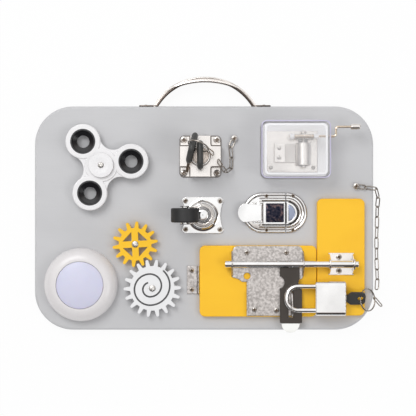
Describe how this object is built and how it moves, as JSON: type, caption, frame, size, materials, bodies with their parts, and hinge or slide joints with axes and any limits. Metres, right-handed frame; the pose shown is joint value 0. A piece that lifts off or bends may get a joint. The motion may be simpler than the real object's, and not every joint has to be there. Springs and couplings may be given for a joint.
{
  "type": "busy_board",
  "caption": "Grey painted wooden busy board with carry handle, spinner, gears, push light, drawer lock, music box, caster, suitcase latch and a padlocked, bolted yellow door.",
  "frame": {"origin": "centre of the board's flat back, on the surface it lies on", "axes": "+X toward the bolted door's side panel, +Y toward the carry handle, +Z out of the play face"},
  "size_m": [0.3079, 0.2261, 0.0626],
  "materials": {
    "grey_paint": "satin grey paint on plywood, light wood at worn edges",
    "yellow_paint": "satin yellow paint on fibreboard",
    "steel": "zinc-plated pressed sheet, fine scratches",
    "chrome": "bright plated",
    "dark_steel": "dark smooth plating",
    "brass": "drawn brass",
    "white_plastic": "white moulded plastic",
    "cream_plastic": "off-white moulded plastic",
    "lens_plastic": "translucent push lens",
    "black_plastic": "black moulded plastic",
    "black_rubber": "solid rubber tyre and wheel",
    "clear_plastic": "clear acrylic with lilac edges",
    "gear_grey": "pale grey moulded plastic",
    "gear_yellow": "yellow moulded plastic",
    "circuit_green": "circuit board"
  },
  "bodies": {
    "board": {"board": "grey_paint", "board_screws": "steel", "carry_handle": "chrome", "bearing_inner": "steel", "spinner_caps": "white_plastic", "pivot_screws": "steel", "gear_washers": "steel", "light_base": "cream_plastic", "light_ring": "cream_plastic", "light_board": "circuit_green", "lock_case": "steel", "music_case": "clear_plastic", "music_lid": "clear_plastic", "music_bedplate": "steel", "music_posts": "white_plastic", "music_comb": "steel", "music_screws": "steel", "caster_plate": "steel", "caster_balls": "chrome", "latch_base": "chrome", "latch_catch": "chrome", "latch_lever_pin": "steel", "side_panel": "yellow_paint", "hinge_leaf": "steel", "hinge_pin": "steel", "bolt_catch": "steel"},
    "spinner": {"spinner_body": "white_plastic", "spinner_rings": "black_plastic", "bearing_outer": "steel", "bearing_balls": "chrome"},
    "yellow_gear": {"yellow_gear": "gear_yellow"},
    "white_gear": {"white_gear": "gear_grey"},
    "lens": {"light_lens": "lens_plastic"},
    "lock_key": {"lock_plug": "brass", "lock_key": "black_plastic", "spare_key": "black_plastic", "lock_key_ring": "chrome"},
    "lock_tongue": {"lock_tongue": "steel"},
    "lock_chain": {"lock_chain": "chrome"},
    "drum": {"music_drum": "brass"},
    "crank": {"music_crank": "brass", "crank_grip": "white_plastic"},
    "caster_fork": {"caster_fork": "steel", "caster_axle": "dark_steel"},
    "caster_wheel": {"caster_wheel": "black_rubber"},
    "latch_lever": {"latch_lever": "chrome"},
    "latch_claw": {"latch_claw": "chrome", "latch_claw_pin": "steel"},
    "door": {"door": "yellow_paint", "hinge_door_leaf": "steel", "bolt_base": "steel", "door_screws": "steel"},
    "bolt": {"bolt_rod": "chrome", "bolt_handle": "dark_steel"},
    "padlock_shackle": {"padlock_shackle": "chrome"},
    "padlock": {"padlock_body": "chrome", "padlock_key_ring": "chrome"},
    "padlock_key": {"padlock_plug": "brass", "padlock_key": "dark_steel"},
    "long_chain": {"long_chain": "chrome"}
  },
  "joints": [
    {"name": "spinner_spin", "type": "hinge", "parent": "board", "child": "spinner", "pos_m": [-0.0902, 0.0464, 0.0186], "axis": [0, 0, 1], "continuous": true},
    {"name": "white_gear_spin", "type": "hinge", "parent": "board", "child": "white_gear", "pos_m": [-0.04549, -0.06176, 0.017], "axis": [0, 0, 1], "continuous": true},
    {"name": "yellow_gear_spin", "type": "hinge", "parent": "board", "child": "yellow_gear", "pos_m": [-0.0606, -0.023, 0.017], "axis": [0, 0, 1], "continuous": true},
    {"name": "light_press", "type": "slide", "parent": "board", "child": "lens", "axis": [0, 0, -1], "range_m": [0, 0.0025], "stiffness_N_per_m": 400},
    {"name": "lock_key_turn", "type": "hinge", "parent": "board", "child": "lock_key", "pos_m": [-0.0032, 0.0544, 0.03], "axis": [0, 0, 1], "range_deg": [0, 90]},
    {"name": "lock_tongue_slide", "type": "slide", "parent": "board", "child": "lock_tongue", "axis": [0, 1, 0], "range_m": [0, 0.008]},
    {"name": "crank_turn", "type": "hinge", "parent": "board", "child": "crank", "pos_m": [0.097, 0.0713, 0.0297], "axis": [1, 0, 0], "continuous": true},
    {"name": "drum_turn", "type": "hinge", "parent": "board", "child": "drum", "pos_m": [0.08735, 0.0601, 0.0209], "axis": [0, 1, 0], "continuous": true},
    {"name": "caster_swivel", "type": "hinge", "parent": "board", "child": "caster_fork", "pos_m": [-0.0011, 0.0026, 0.018], "axis": [0, 0, 1], "continuous": true},
    {"name": "wheel_roll", "type": "hinge", "parent": "caster_fork", "child": "caster_wheel", "pos_m": [-0.0164, 0.0026, 0.0335], "axis": [0, 1, 0], "continuous": true},
    {"name": "latch_lever_flip", "type": "hinge", "parent": "board", "child": "latch_lever", "pos_m": [0.0504, 0.0046, 0.0154], "axis": [0, 1, 0], "range_deg": [0, 130]},
    {"name": "latch_claw_reach", "type": "hinge", "parent": "latch_lever", "child": "latch_claw", "pos_m": [0.0446, 0.0046, 0.0154], "axis": [0, 1, 0], "range_deg": [-130, 0]},
    {"name": "door_hinge", "type": "hinge", "parent": "board", "child": "door", "pos_m": [-0.0049, -0.05475, 0.01325], "axis": [0, -1, 0], "range_deg": [0, 0.35]},
    {"name": "bolt_slide", "type": "slide", "parent": "door", "child": "bolt", "axis": [1, 0, 0], "range_m": [0, 0.0022]},
    {"name": "padlock_swing", "type": "hinge", "parent": "door", "child": "padlock_shackle", "pos_m": [0.09, -0.0806, 0.0242], "axis": [1, 0, 0], "range_deg": [0, 80]},
    {"name": "padlock_body_slide", "type": "slide", "parent": "padlock_shackle", "child": "padlock", "axis": [1, 0, 0], "range_m": [0, 0.005]},
    {"name": "padlock_key_turn", "type": "hinge", "parent": "padlock", "child": "padlock_key", "pos_m": [0.12, -0.07015, 0.0242], "axis": [1, 0, 0], "range_deg": [0, 85]},
    {"name": "lock_chain_swing", "type": "hinge", "parent": "board", "child": "lock_chain", "pos_m": [0.0268, 0.0704, 0.0133], "axis": [0, 0, 1], "range_deg": [0, 15]},
    {"name": "long_chain_swing", "type": "hinge", "parent": "board", "child": "long_chain", "pos_m": [0.1345, 0.0283, 0.0133], "axis": [0, 0, 1], "range_deg": [0, 20]}
  ],
  "couplings": [
    {"joint": "yellow_gear_spin", "follows": "white_gear_spin", "ratio": -1.2857},
    {"joint": "lock_tongue_slide", "follows": "lock_key_turn", "m_per_rad": 0.005093},
    {"joint": "drum_turn", "follows": "crank_turn", "ratio": 0.041667},
    {"joint": "latch_claw_reach", "follows": "latch_lever_flip", "ratio": -1}
  ]
}
